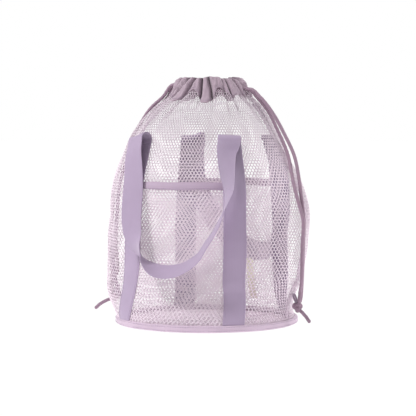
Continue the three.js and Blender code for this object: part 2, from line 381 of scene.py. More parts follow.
def sag(angle, height):
    """The net's slack: slow waves that keep the wall from being a turned shape."""
    fade = np.clip((height - 10) / 40, 0, 1) * np.clip((318 - height) / 60, 0, 1)
    waves = (
        0.9 * np.sin(5 * angle + height / 31)
        + 0.7 * np.sin(9 * angle - height / 19 + 1.3)
        + 0.5 * np.sin(14 * angle + height / 13 + 4.1)
    )
    return fade * waves


def wall_surface(angle, height, offset=0.0):
    """Points of the net's wall. offset moves them straight out from the bag's axis."""
    angle, height = np.broadcast_arrays(np.asarray(angle, float), np.asarray(height, float))
    a, b, lean = half_sizes(height)
    x = a * np.sin(angle)
    y = -b * np.cos(angle)
    away = unit(np.stack([x / a**2, y / b**2], -1))
    push = gather(angle, height, np.sqrt(a * b)) + sag(angle, height) + WALL_MIDDLE + offset
    return np.stack([lean + x + away[..., 0] * push, y + away[..., 1] * push, height], -1)


def wall_normal(angle, height):
    step = 0.4
    a, b, _ = half_sizes(np.asarray(height, float))
    turn = step / np.sqrt(a * b)
    along = wall_surface(angle + turn, height) - wall_surface(angle - turn, height)
    rise = wall_surface(angle, height + step) - wall_surface(angle, height - step)
    return unit(np.cross(along, rise))


def wall_point(angle, height, offset):
    """Points of the net's wall, moved out along the cloth's own normal."""
    offset = np.asarray(offset, float)
    return wall_surface(angle, height) + wall_normal(angle, height) * offset[..., None]


def wall_speed(angle, height):
    """Millimetres along the wall for one radian of angle."""
    a, b, _ = half_sizes(height)
    return np.hypot(a * np.cos(angle), b * np.sin(angle))


def row_heights():
    """The height of each row of net holes, the rows being evenly spaced up the wall's slope."""
    heights = np.linspace(NET["bottom"], NET["top"], 400)
    a, b, _ = half_sizes(heights)
    slope = np.gradient((a + b) / 2, heights)
    steps = np.hypot(1, (slope[1:] + slope[:-1]) / 2) * np.diff(heights)
    travelled = np.concatenate([[0], np.cumsum(steps)])
    rows = int(travelled[-1] / NET["row"])
    return rows, heights, travelled / NET["row"]


NET_ROWS, HEIGHT_SAMPLES, ROW_SAMPLES = row_heights()


def height_of_row(row):
    return np.interp(row, ROW_SAMPLES, HEIGHT_SAMPLES)


def row_of_height(height):
    return np.interp(height, HEIGHT_SAMPLES, ROW_SAMPLES)


def strap_angle(face, side, height):
    """The middle of a sewn strap. The back's straps mirror the front's."""
    table = np.array(STRAP_ROWS, float)
    distance = spline(table[:, 0], table[:, 1], height)
    shift = spline(table[:, 0], table[:, 2], height)
    a, _, lean = half_sizes(height)
    front = np.arcsin((shift + side * distance - lean) / a)
    return front if face == "front" else HALF_TURN - front


# ---- Materials ----


def linear(colour):
    return [c / 12.92 if c <= 0.04045 else ((c + 0.055) / 1.055) ** 2.4 for c in colour]


def shade(colour, factor):
    return [min(1.0, c * factor) for c in colour]


class Nodes:
    """A material's node tree, with short ways to add to it."""

    def __init__(self, name):
        self.material = bpy.data.materials.new(name)
        self.material.use_nodes = True
        self.tree = self.material.node_tree
        self.principled = self.tree.nodes["Principled BSDF"]

    def add(self, kind, inputs=None, **settings):
        node = self.tree.nodes.new(kind)
        for key, value in settings.items():
            setattr(node, key, value)
        for key, value in (inputs or {}).items():
            if isinstance(value, bpy.types.NodeSocket):
                self.tree.links.new(value, node.inputs[key])
            else:
                node.inputs[key].default_value = value
        return node

    def link(self, socket, target):
        self.tree.links.new(socket, self.principled.inputs[target])

    def math(self, operation, first, second=0.0, third=0.0):
        return self.add("ShaderNodeMath", {0: first, 1: second, 2: third}, operation=operation).outputs[0]

    def mix(self, factor, first, second):
        node = self.add("ShaderNodeMix", {0: factor, 6: (*first, 1), 7: (*second, 1)}, data_type="RGBA")
        return node.outputs[2]

    def noise(self, size_mm, detail=3.0):
        position = self.add("ShaderNodeTexCoord").outputs["Object"]
        inputs = {"Vector": position, "Scale": 1 / (size_mm * MM), "Detail": detail}
        return self.add("ShaderNodeTexNoise", inputs).outputs[0]

    def attribute(self, name):
        return self.add("ShaderNodeAttribute", attribute_name=name).outputs["Fac"]

    def wave(self, value, period_mm):
        """A smooth wave from 0 to 1 of a value in millimetres."""
        turns = self.math("MULTIPLY", value, 2 * math.pi / period_mm)
        return self.math("MULTIPLY_ADD", self.math("SINE", turns), 0.5, 0.5)

    def bump(self, height, distance_mm, strength=1.0):
        inputs = {"Height": height, "Distance": distance_mm * MM, "Strength": strength}
        self.link(self.add("ShaderNodeBump", inputs).outputs[0], "Normal")

    def finish(self, roughness, sheen):
        self.principled.inputs["Roughness"].default_value = roughness
        self.principled.inputs["Sheen Weight"].default_value = sheen
        self.principled.inputs["Sheen Roughness"].default_value = 0.5
        self.principled.inputs["Specular IOR Level"].default_value = 0.3
        return self.material


def colour_between(nodes, factor, colour, darkest, lightest):
    base = linear(colour)
    nodes.link(nodes.mix(factor, shade(base, darkest), shade(base, lightest)), "Base Color")


def net_material():
    """Net yarn, duller towards the neck where the gathered net shades itself."""
    nodes = Nodes("net_yarn")
    fibre = nodes.noise(0.7)
    patch = nodes.noise(26)
    position = nodes.add("ShaderNodeTexCoord").outputs["Object"]
    height = nodes.add("ShaderNodeSeparateXYZ", {0: position}).outputs["Z"]
    # painted shade: the net is made darker towards the neck, by height
    low, high = (level * MM for level in NET_SHADE["heights"])
    gathered = nodes.add("ShaderNodeMapRange", {0: height, 1: low, 2: high}).outputs[0]
    tone = nodes.math("MULTIPLY_ADD", nodes.math("ADD", fibre, patch), 0.28, 0.44)
    tone = nodes.math("SUBTRACT", tone, nodes.math("MULTIPLY", gathered, NET_SHADE["loss"]))
    colour_between(nodes, tone, COLOURS["net"], 0.6, 1.14)
    nodes.bump(fibre, 0.12, 0.7)
    return nodes.finish(0.72, 0.25)


def woven_material(name, colour, along_period, across_period, contrast, sheen=0.25, roughness=0.78):
    """Woven tape: ribs over its length and finer threads over its width, from the mesh's own measurements."""
    nodes = Nodes(name)
    ribs = nodes.wave(nodes.attribute("along"), along_period)
    threads = nodes.wave(nodes.attribute("across"), across_period)
    weave = nodes.math("MULTIPLY", ribs, threads)
    fibre = nodes.noise(0.5)
    patch = nodes.noise(18)
    height = nodes.math("ADD", weave, nodes.math("MULTIPLY", fibre, 0.35))
    tone = nodes.math("ADD", nodes.math("MULTIPLY", weave, 0.45), nodes.math("MULTIPLY", patch, 0.6))
    span = 1 + contrast - DARKEST_WEAVE
    plain = (1 - contrast - DARKEST_WEAVE) / span
    tone = nodes.math("MULTIPLY_ADD", tone, 1 - plain, plain)
    # painted shade: the tape is made darker by its mesh's shade values
    tone = nodes.math("SUBTRACT", tone, nodes.math("MULTIPLY", nodes.attribute("painted_shade"), WEBBING_PAINTED_SHADE / span))
    colour_between(nodes, tone, colour, DARKEST_WEAVE, 1 + contrast)
    nodes.bump(height, 0.14, 0.6)
    return nodes.finish(roughness, sheen)


def cloth_material(name, colour, thread_mm, contrast, folded=0.0):
    """Plain woven cloth, its threads measured in space. With folded set, it is painted darker in its creases by
    the depth in each, as shade.
    """
    nodes = Nodes(name)
    position = nodes.add("ShaderNodeTexCoord").outputs["Object"]
    split = nodes.add("ShaderNodeSeparateXYZ", {0: position})
    warp = nodes.wave(nodes.math("MULTIPLY", split.outputs["X"], 1 / MM), thread_mm)
    weft = nodes.wave(nodes.math("MULTIPLY", split.outputs["Z"], 1 / MM), thread_mm)
    depth = nodes.wave(nodes.math("MULTIPLY", split.outputs["Y"], 1 / MM), thread_mm)
    weave = nodes.math("MULTIPLY", nodes.math("ADD", nodes.math("ADD", warp, weft), depth), 0.33)
    patch = nodes.noise(14)
    fibre = nodes.noise(0.6)
    tone = nodes.math("ADD", nodes.math("MULTIPLY", weave, 0.35), nodes.math("MULTIPLY", patch, 0.65))
    if folded:
        # painted shade: darker by the crease depth the mesh holds
        tone = nodes.math("SUBTRACT", tone, nodes.math("MULTIPLY", nodes.attribute("fold"), 1.0))
        colour_between(nodes, nodes.math("MULTIPLY_ADD", tone, 0.5, 0.5), colour, 1 - folded, 1 + contrast)
    else:
        colour_between(nodes, tone, colour, 1 - contrast, 1 + contrast)
    nodes.bump(nodes.math("ADD", weave, nodes.math("MULTIPLY", fibre, 0.5)), 0.12, 0.5)
    return nodes.finish(0.85, 0.3)


MATERIALS = {
    "net": net_material(),
    "webbing": woven_material("webbing_weave", COLOURS["webbing"], 1.5, 1.9, 0.08),
    "tape": woven_material("binding_rib", COLOURS["tape"], 1.1, 9.0, 0.09),
    # the casing is painted darker in its creases, as shade
    "casing": cloth_material("casing_cloth", COLOURS["casing"], 0.9, 0.12, folded=0.6),
    "base_cloth": cloth_material("base_cloth_weave", COLOURS["base"], 1.2, 0.07),
    "cord": woven_material("cord_braid", COLOURS["cord"], 1.6, 2.2, 0.12),
    "pocket_tape": woven_material("pocket_binding_rib", COLOURS["pocket_tape"], 1.1, 5.0, 0.09),
    "label": woven_material("label_satin", COLOURS["label"], 0.8, 0.8, 0.04, 0.1, 0.5),
    "thread": cloth_material("sewing_thread", shade(COLOURS["webbing"], 0.93), 0.5, 0.08),
}


# ---- Mesh building ----


def signed_volume(points, faces):
    """Six times the volume inside quads or triangles, negative if they face inwards."""
    total = 0.0
    for size in {len(face) for face in faces}:
        corners = points[np.array([face for face in faces if len(face) == size])]
        for i in range(1, size - 1):
            total += np.einsum("ij,ij->", corners[:, 0], np.cross(corners[:, i], corners[:, i + 1]))
    return total


def make_piece(name, points, faces, slot, material=None, values=None):
    """A smooth closed mesh from points in millimetres. values holds one number per point for the materials: the
    weave's measurements, and the painted shade of creases and straps.
    """
    points = np.asarray(points, float).reshape(-1, 3)
    if signed_volume(points, faces) < 0:
        faces = [tuple(reversed(face)) for face in faces]
    mesh = bpy.data.meshes.new(name)
    mesh.from_pydata((points * MM).tolist(), [], faces)
    for key, numbers in (values or {}).items():
        mesh.attributes.new(key, "FLOAT", "POINT").data.foreach_set("value", np.ravel(numbers).astype(np.float32))
    mesh.polygons.foreach_set("use_smooth", [len(face) <= 4 for face in faces])
    mesh.materials.append(MATERIALS[material or slot])
    mesh.update()
    piece = bpy.data.objects.new(name, mesh)
    bpy.context.scene.collection.objects.link(piece)
    return piece


def tube_faces(rings, around, closed=False):
    """Quads between successive rings of points, with a lid at each end unless the rings close up."""
    faces = []
    for i in range(rings if closed else rings - 1):
        here, there = i * around, (i + 1) % rings * around
        for j in range(around):
            k = (j + 1) % around
            faces.append((here + j, here + k, there + k, there + j))
    if not closed:
        faces.append(tuple(range(around - 1, -1, -1)))
        faces.append(tuple(range((rings - 1) * around, rings * around)))
    return faces


def lengths_along(points):
    return np.concatenate([[0], np.cumsum(np.linalg.norm(np.diff(points, axis=0), axis=1))])


def resample(points, spacing, *others):
    """The same curve with points evenly spaced, and other values read at those points."""
    fine = np.linspace(0, 1, 12 * len(points))
    knots = lengths_along(points)
    knots = knots / knots[-1]
    curve = spline(knots, points, fine)
    travelled = lengths_along(curve)
    count = max(3, int(travelled[-1] / spacing) + 1)
    at = np.interp(np.linspace(0, travelled[-1], count), travelled, fine)
    return [spline(knots, values, at) for values in (points, *others)]


# ---- Flat tapes ----


def tape_outline(width, thickness, columns):
    """A tape's cross-section, thin and round at its edges: positions across it and through it."""
    turn = np.linspace(0, math.pi, columns)
    across = -np.cos(turn) * width / 2
    through = np.sin(turn) ** 0.3 * thickness / 2
    across = np.concatenate([across, across[-2:0:-1]])
    through = np.concatenate([through, -through[-2:0:-1]])
    through[0] = 0
    through[columns - 1] = 0
    return across, through


def tape_piece(name, rings, across, along, slot, body, replaces=(), closed=False, material=None, painted_shade=0):
    """A tape from its cross-sections. The last argument gives each cross-section's painted shade, how much darker
    it is made, from 0 to 1.
    """
    count, around, _ = rings.shape
    values = {
        "across": np.broadcast_to(across, (count, around)),
        "along": np.broadcast_to(along[:, None], (count, around)),
        # painted shade, read by the woven materials
        "painted_shade": np.broadcast_to(np.reshape(painted_shade, (-1, 1)), (count, around)),
    }
    piece = make_piece(name, rings, tube_faces(count, around, closed), slot, material, values)
    if body:
        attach(piece, body)
    if replaces:
        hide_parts(*replaces)
    return piece


def wall_tape(
    name, middle, bottom, top, width, thickness, offset, slot, replaces, columns=13, spacing=1.6, shade_heights=None
):
    """A tape lying up the wall, its middle at angle middle(height)."""
    across, through = tape_outline(width, thickness, columns)
    heights = np.linspace(bottom, top, int((top - bottom) / spacing))
    centre = middle(heights)
    angles = centre[:, None] + across[None, :] / wall_speed(centre, heights)[:, None]
    levels = np.broadcast_to(heights[:, None], angles.shape)
    rings = wall_point(angles, levels, offset + np.broadcast_to(through, angles.shape))
    along = lengths_along(rings[:, columns // 2])
    # painted shade, building up from nothing to full over the given heights
    painted_shade = np.interp(heights, shade_heights, (0, 1)) if shade_heights else 0
    return tape_piece(name, rings, across, along, slot, "bag", replaces, painted_shade=painted_shade)


# ---- Stitches ----


def stitch_row(name, points, normals, length, gap, body, slot="webbing", radius=0.32):
    """A row of short raised threads along a line of points."""
    points, normals = resample(points, (length + gap) / 2, normals)
    normals = unit(normals)
    sides, rings = 6, 5
    ends = np.linspace(0, 1, rings)
    girth = radius * np.sin(math.pi * (0.12 + 0.76 * ends)) ** 0.6
    turn = np.linspace(0, 2 * math.pi, sides, endpoint=False)
    all_points, all_faces = [], []
    for i in range(0, len(points) - 1, 2):
        start, stop = points[i], points[i + 1]
        way = unit(stop - start)
        stop = start + way * length
        side = np.cross(normals[i], way)
        rows = start + (stop - start) * ends[:, None]
        ring = (
            rows[:, None, :]
            + girth[:, None, None] * np.cos(turn)[None, :, None] * side
            + girth[:, None, None] * np.sin(turn)[None, :, None] * normals[i]
        )
        base = len(all_points) * sides * rings
        all_points.append(ring.reshape(-1, 3))
        all_faces += [tuple(base + v for v in face) for face in tube_faces(rings, sides)]
    piece = make_piece(name, np.concatenate(all_points), all_faces, slot, "thread")
    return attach(piece, body)


# ---- Net ----


def net_lattice(columns, rows):
    """The net in its own plane: shared corners, hole corners, and each hole's corner numbers."""
    column, row = np.meshgrid(np.arange(columns), np.arange(rows))
    across = (2 * column + 1 + row % 2).ravel()
    up = (ROW_STEPS * row).ravel()
    tip, shoulder = HOLE_TIP, ROW_STEPS - HOLE_TIP
    corner_steps = np.array([(0, tip), (1, shoulder), (1, -shoulder), (0, -tip), (-1, -shoulder), (-1, shoulder)])
    centres = np.stack([across, up], -1)
    corners = centres[:, None, :] + corner_steps[None]
    shared, numbers = np.unique(corners.reshape(-1, 2), axis=0, return_inverse=True)
    holes = centres[:, None, :] + corner_steps[None] * NET["hole"]
    return shared / (2, ROW_STEPS), holes.reshape(-1, 2) / (2, ROW_STEPS), numbers.reshape(-1, 6)


def net_piece(name, columns, rows, place, body, replaces):
    """A closed net. place(across, row, offset) puts a point of the net's plane on the cloth."""
    shared, holes, numbers = net_lattice(columns, rows)
    reach = NET["thread"] / 2
    front = place(shared[:, 0], shared[:, 1], np.full(len(shared), reach))
    back = place(shared[:, 0], shared[:, 1], np.full(len(shared), -reach))
    inner = place(holes[:, 0], holes[:, 1], np.zeros(len(holes)))
    points = np.concatenate([front, back, inner])
    hole_numbers = 2 * len(shared) + np.arange(len(holes)).reshape(-1, 6)
    quads = []
    for k in range(6):
        m = (k + 1) % 6
        outer_a, outer_b = numbers[:, k], numbers[:, m]
        hole_a, hole_b = hole_numbers[:, k], hole_numbers[:, m]
        quads.append(np.stack([outer_a, outer_b, hole_b, hole_a], -1))
        quads.append(np.stack([hole_a, hole_b, outer_b + len(shared), outer_a + len(shared)], -1))
    edges = np.concatenate([np.stack([numbers[:, k], numbers[:, (k + 1) % 6]], -1) for k in range(6)])
    unique, first, uses = np.unique(np.sort(edges, axis=1), axis=0, return_index=True, return_counts=True)
    rim = edges[first[uses == 1]]
    quads.append(np.stack([rim[:, 1], rim[:, 0], rim[:, 0] + len(shared), rim[:, 1] + len(shared)], -1))
    faces = [tuple(quad) for quad in np.concatenate(quads).tolist()]
    piece = make_piece(name, points, faces, "net")
    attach(piece, body)
    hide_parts(*replaces)
    return piece


def angles_along_wall(start, share, height):
    """Angles of points that lie a share of the way along half the wall's girth, at their own heights."""
    samples = start + np.linspace(0, HALF_TURN, 900)
    levels, level_of = np.unique(height, return_inverse=True)
    order = np.argsort(level_of, kind="stable")
    bounds = np.searchsorted(level_of[order], np.arange(len(levels) + 1))
    angles = np.empty(len(share))
    for i, level in enumerate(levels):
        travelled = lengths_along(wall_surface(samples, level))
        chosen = order[bounds[i] : bounds[i + 1]]
        angles[chosen] = np.interp(share[chosen], travelled / travelled[-1], samples)
    return angles


def body_net(name, start, node):
    columns = NET["columns"]

    def place(across, row, offset):
        heights = height_of_row(row)
        share = np.clip(across / (columns + 0.5), 0, 1)
        return wall_point(angles_along_wall(start, share, heights), heights, offset)

    return net_piece(name, columns, NET_ROWS, place, "bag", [node])


# ---- Pockets ----

POCKET_SIDE_GAP = 1.2
POCKET_SWELL = 5.0


def pocket_edges(face, height):
    """The angles between which a pocket runs."""
    first, last = (-1, 1) if face == "front" else (1, -1)
    reach = WEBBING["width"] / 2 - 2.5
    start = strap_angle(face, first, height)
    stop = strap_angle(face, last, height)
    return start + reach / wall_speed(start, height), stop - reach / wall_speed(stop, height)


def pocket_offset(share, height):
    rise = np.clip((height - 9) / (POCKET_TOP - 9), 0, 1.1)
    return 1.15 + POCKET_SWELL * rise**3 * 4 * share * (1 - share)


def pocket_net(face):
    rows = int(row_of_height(POCKET_TOP + 4) - row_of_height(6))
    first_row = row_of_height(6)
    columns = 23

    def place(across, row, offset):
        height = height_of_row(first_row + row)
        share = np.clip(across / (columns + 0.5), 0, 1)
        start, stop = pocket_edges(face, height)
        angle = start + (stop - start) * share
        return wall_point(angle, height, pocket_offset(share, height) + offset)

    return net_piece(f"{face}_pocket_net", columns, rows, place, "bag", [f"{face}_pocket_mesh"])


def pocket_mouth(face):
    """Tape folded over the pocket's top edge."""
    outline_up, through = tape_outline(10.0, 2.6, 9)
    shares = np.linspace(0, 1, 90)
    levels = POCKET_TOP + 5.4 + np.broadcast_to(outline_up, (len(shares), len(outline_up)))
    share = np.broadcast_to(shares[:, None], levels.shape)
    start, stop = pocket_edges(face, levels)
    offset = pocket_offset(share, np.full(levels.shape, POCKET_TOP)) + np.broadcast_to(through, levels.shape)
    rings = wall_point(start + (stop - start) * share, levels, offset)
    along = lengths_along(rings[:, 4])
    piece = tape_piece(
        f"{face}_pocket_tape",
        rings,
        outline_up,
        along,
        "tape",
        "bag",
        [f"{face}_pocket_binding"],
        material="pocket_tape",
    )
    line = wall_point(
        (start + (stop - start) * share)[2:-2, 0],
        np.full(len(shares) - 4, POCKET_TOP + 2.2),
        offset[2:-2, 0] + 1.35,
    )
    normals = wall_normal((start + (stop - start) * share)[2:-2, 0], np.full(len(shares) - 4, POCKET_TOP + 2.2))
    stitch_row(f"{face}_pocket_stitches", line, normals, 2.0, 1.0, "bag", "tape", 0.25)
    return piece


# ---- Straps and handles ----


def sewn_strap(face, side, name):
    def middle(heights):
        return strap_angle(face, side, heights)

    node = f"{face}_strap_{name}"
    wall_tape(
        f"{node}_webbing",
        middle,
        8.0,
        SPLICE_Z,
        WEBBING["width"],
        WEBBING["thickness"],
        WEBBING["gap"],
        "webbing",
        [node],
        columns=17,
        spacing=1.5,
        # painted shade, darker towards the strap's top below the handle's fold
        shade_heights=PAINTED_SHADE_HEIGHTS,
    )
    for edge in (-1, 1):
        heights = np.linspace(11, SPLICE_Z - 3, 60)
        angles = middle(heights) + edge * 12.6 / wall_speed(middle(heights), heights)
        points = wall_point(angles, heights, np.full(len(heights), WEBBING["gap"] + 0.8))
        label = "a" if edge < 0 else "b"
        stitch_row(f"{node}_stitches_{label}", points, wall_normal(angles, heights), 2.2, 1.1, "bag")
    for label, height in (("c", SPLICE_Z - 3), ("d", SPLICE_Z - 14)):
        centre = middle(np.array([height]))[0]
        angles = centre + np.linspace(-12.6, 12.6, 12) / wall_speed(centre, height)
        heights = np.full(12, float(height))
        points = wall_point(angles, heights, np.full(12, WEBBING["gap"] + 0.8))
        stitch_row(f"{node}_stitches_{label}", points, wall_normal(angles, heights), 2.0, 0.7, "bag")


def loop_stations(face):
    """Middle points and width directions of a handle's free part."""
    table = np.array(FRONT_HANDLE_STATIONS if face == "front" else BACK_HANDLE_STATIONS, float)
    points = table[:, :3]
    tangents = unit(np.gradient(points, lengths_along(points), axis=0))
    tangents[0] = -UP
    tangents[-1] = UP
    outwards = np.array([0.0, -1.0 if face == "front" else 1.0, 0.0])
    facing = unit(outwards - tangents * (tangents @ outwards)[:, None])
    turn = np.radians(table[:, 3:])
    facing = facing * np.cos(turn) + np.cross(tangents, facing) * np.sin(turn)
    return points, np.cross(tangents, facing)


def strap_top(face, side, height):
    """Middle point and width direction of a sewn strap."""
    level = np.array([float(height)])
    angle = strap_angle(face, side, level)
    point = wall_point(angle, level, np.array([WEBBING["gap"]]))[0]
    normal = wall_normal(angle, level)[0]
    return point, unit(np.cross(UP, normal)), normal


def fold_stations(face, side, strand, strand_width, outward):
    """From a sewn strap's top over the fold to the free strand. outward is the way the width runs."""
    points, widths = [], []
    for height in (SPLICE_Z - 0.5, SPLICE_Z + 2):
        point, width, _ = strap_top(face, side, height)
        points.append(point)
        widths.append(width * outward)
    foot, width, _ = strap_top(face, side, strand[2])
    for degrees in (15, 40, 65, 90, 115, 140, 165):
        turn = math.radians(degrees)
        share = (1 - math.cos(turn)) / 2
        point = foot + (strand - foot) * share
        point[2] = strand[2] + FOLD_RISE[side] * math.sin(turn)
        points.append(point)
        drop = UP * math.tan(math.radians(FOLD_TILT[side])) * math.sin(turn)
        widths.append(unit(unit(width * outward * (1 - share) + strand_width * share) - drop))
    return points, widths


def handle_rings(face):
    """Cross-sections of one handle's webbing, from one sewn strap to the other."""
    points, widths = loop_stations(face)
    first, last = (-1, 1) if face == "front" else (1, -1)
    start_points, start_widths = fold_stations(face, first, points[0], widths[0], -1)
    stop_points, stop_widths = fold_stations(face, last, points[-1], widths[-1], 1)
    points = np.array([*start_points, *points, *reversed(stop_points)])
    widths = np.array([*start_widths, *widths, *reversed(stop_widths)])
    centre, width = resample(points, 1.5, widths)
    tangents = unit(np.gradient(centre, axis=0))
    width = unit(width - tangents * np.sum(width * tangents, axis=1, keepdims=True))
    facing = np.cross(width, tangents)
    across, through = tape_outline(WEBBING["width"], WEBBING["thickness"], 17)
    rings = centre[:, None] + across[None, :, None] * width[:, None] + through[None, :, None] * facing[:, None]
    return rings, across, centre


def handle(face):
    rings, across, centre = handle_rings(face)
    along = lengths_along(centre)
    lowest = int(np.argmin(centre[:, 2]))
    first_cut, last_cut = STRAND_SPLICE_Z[face]
    left_cut = int(np.argmin(abs(centre[20:lowest, 2] - first_cut))) + 20
    right_cut = lowest + int(np.argmin(abs(centre[lowest:-20, 2] - last_cut)))
    loop = slice(left_cut - 2, right_cut + 3)
    body = f"{face}_handle"
    node = f"{face}_handle_loop"
    tucked = rings[loop].copy()
    for end in (0, 1, -2, -1):
        # the loop's ends reach a little way into the folds, just under their surface
        middle = centre[loop][end]
        tucked[end] = middle + (tucked[end] - middle) * TUCK
    tape_piece(f"{face}_handle_webbing", tucked, across, along[loop], "webbing", body, [node])
    first, last = (-1, 1) if face == "front" else (1, -1)
    for side, part in ((first, slice(0, left_cut + 1)), (last, slice(right_cut, len(rings)))):
        label = "left" if side < 0 else "right"
        from_strap = abs(along[part] - (along[0] if part.start == 0 else along[-1]))
        fold = tape_piece(
            f"{face}_handle_fold_{label}",
            rings[part],
            across,
            along[part],
            "webbing",
            None,
            [node],
            # painted shade on the fold's strap side, fading out from 8 to 24 mm along the webbing
            painted_shade=np.interp(from_strap, (8, 24), (1, 0)),
        )
        foot, _, normal = strap_top(face, side, 251.0)
        outwards = unit(normal * (1, 1, 0))
        end = foot + outwards * 14.0
        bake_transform(fold)


# ---- Casing ----


def casing_half(name, start, node):
    """A gathered cloth channel: outer skin, rolled top, inner skin and hem."""
    end_gap = math.radians(6)
    angles = np.linspace(start + end_gap, start + HALF_TURN - end_gap, 420)
    table = np.array(CASING_FOOT, float)
    degrees = (np.degrees(angles) + 90) % 360 - 90
    foot = spline(table[:, 0], table[:, 1], degrees)
    rim = np.array(CASING_RIM, float)
    top = CASING_TOP - 0.4 + spline(rim[:, 0], rim[:, 1], degrees) + 0.35 * np.sin(23 * angles)
    # Up the outside, over the top and down the inside: share of the height, offset from the net's middle.
    outline = [
        (0.0, 0.9),
        (0.03, 1.7),
        (0.12, 1.8),
        (0.2, 1.5),
        (0.35, 1.9),
        (0.5, 2.1),
        (0.65, 1.9),
        (0.8, 1.3),
        (0.9, 1.1),
        (0.97, 0.7),
        (1.0, -0.2),
        (0.99, -1.3),
        (0.9, -2.6),
        (0.7, -3.6),
        (0.45, -3.6),
        (0.2, -2.6),
        (0.05, -1.6),
        (0.0, -0.4),
    ]
    shares = np.array(outline)[:, 0]
    offsets = np.array(outline)[:, 1]
    heights = foot[:, None] + (top - foot)[:, None] * shares[None, :]
    wide = np.broadcast_to(angles[:, None], heights.shape)
    rings = wall_surface(wide, heights, offsets[None, :])
    # crease depth, which the casing material turns into painted shade
    values = {"fold": fold_depth(wide, heights)}
    piece = make_piece(name, rings, tube_faces(*heights.shape), "casing", values=values)
    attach(piece, "bag")
    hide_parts(node)
    hem = 8
    line = wall_surface(angles[hem:-hem], foot[hem:-hem] + 3.2, 2.35)
    normals = wall_normal(angles[hem:-hem], foot[hem:-hem] + 3.2)
    stitch_row(f"{name}_stitches", line, normals, 2.0, 1.0, "bag", "casing", 0.25)


# ---- Cords ----


def braided_tube(name, path, body, replaces, radius=CORD_RADIUS, closed=False):
    """A round cord with the raised diamonds of a braid."""
    (centre,) = resample(np.asarray(path, float), 0.9)
    if closed:
        centre = centre[:-1]
    tangents = unit(np.gradient(centre, axis=0))
    side = np.cross(tangents[0], (0.31, 0.42, 0.85))
    sides = []
    for tangent in tangents:
        side = side - tangent * np.dot(side, tangent)
        side = side / np.linalg.norm(side)
        sides.append(side)
    sides = np.array(sides)
    ups = np.cross(tangents, sides)
    around = 20
    turn = np.linspace(0, 2 * math.pi, around, endpoint=False)
    along = lengths_along(centre)
    phase = along[:, None] * 2 * math.pi / 7.2
    braid = np.cos(5 * turn[None, :] + phase) + np.cos(5 * turn[None, :] - phase)
    girth = radius * (0.96 + 0.035 * braid)
    if not closed:
        rounding = np.clip(np.minimum(along, along[-1] - along) / (0.8 * radius), 0, 1)
        girth = girth * np.sqrt(1 - (1 - rounding) ** 2 * 0.75)[:, None]
    rings = (
        centre[:, None]
        + (girth * np.cos(turn))[..., None] * sides[:, None]
        + (girth * np.sin(turn))[..., None] * ups[:, None]
    )
    return tape_piece(name, rings, turn * radius, along, "cord", body, replaces, closed)


def centreline(node, slices):
    """The middle of a cord solid that runs downwards, from its own vertices."""
    points = node_points(node)
    low, high = points[:, 2].min(), points[:, 2].max()
    middles = []
    for level in np.linspace(high - 2.6, low, slices):
        near = points[abs(points[:, 2] - level) < 3.4]
        if len(near) > 6:
            middles.append(near.mean(0))
    return np.array(middles)


def side_point(side, y, height, stand_off):
    """A point off the bag's right (1) or left (-1) side, found on the wall's plain ellipse."""
    a, b, lean = half_sizes(np.array(float(height)))
    x = lean + side * (a * math.sqrt(1 - (y / b) ** 2) + stand_off)
    return np.array([float(x), y, height])


def cord_exit(name, side, turn, beyond):
    return side_point(side, 0.0, CORD_LEVEL[name], beyond) + (0, turn * CORD_SPREAD, 0)


def knot_middle(name, side):
    middle = side_point(side, TAB_Y[name], TAB_LEVEL, TAB_REACH + KNOT["outward"])
    middle[2] = KNOT["height"]
    return middle


def cord_run(name, side):
    """Once round the neck inside the casing."""
    height = CORD_LEVEL[name]
    angles = side * HALF_TURN / 2 + np.linspace(0.26, 2 * HALF_TURN - 0.26, 60)
    a, b, lean = half_sizes(height)
    x = a * np.sin(angles)
    y = -b * np.cos(angles)
    away = unit(np.stack([x / a**2, y / b**2], -1))
    ring = np.stack([lean + x, y, np.full(len(angles), height)], -1)
    ring[:, :2] -= away * CORD_INSET
    ends = [[cord_exit(name, side, turn, beyond) for beyond in (2.0, -3.0)] for turn in (side, -side)]
    path = [*ends[0], *ring, *reversed(ends[1])]
    braided_tube(f"drawcord_{name}_run", path, "bag", [f"drawcord_run_{name}"])


def cord_strand(name, side, part, turn, body):
    eye = knot_middle(name, side) + (side * 3.8, turn * (CORD_RADIUS + 0.1), 12.0)
    path = [
        cord_exit(name, side, turn, 2.0),
        cord_exit(name, side, turn, 6.0),
        *[side_point(side, y, height, stand_off) for height, y, stand_off in STRANDS[f"{name}_{part}"]],
        eye + (side * 0.8, 0, 8),
        eye,
        eye + (-side * 1.2, -turn * 1.0, -6.5),
    ]
    braided_tube(f"drawcord_{name}_{part}", path, body, [f"drawcord_{part}_strand_{name}"])


def cord_knot(name, side):
    """An overhand knot pulled tight."""
    turn = np.linspace(0, 2 * math.pi, 60)
    knot = np.stack(
        [
            np.sin(turn) + 2 * np.sin(2 * turn),
            1.25 * np.sin(3 * turn),
            np.cos(turn) - 2 * np.cos(2 * turn),
        ],
        -1,
    )
    path = knot_middle(name, side) + knot * KNOT["size"] * (1, 1, 1.08)
    braided_tube(f"cord_{name}_knot", path, "bag", [f"cord_knot_{name}"], 2.8, closed=True)


def cord_tail(name, side):
    path = knot_middle(name, side) + np.array(TAILS[name], float)
    braided_tube(f"cord_{name}_tail", path, f"{name}_tail", [f"cord_tail_{name}"], 2.5)


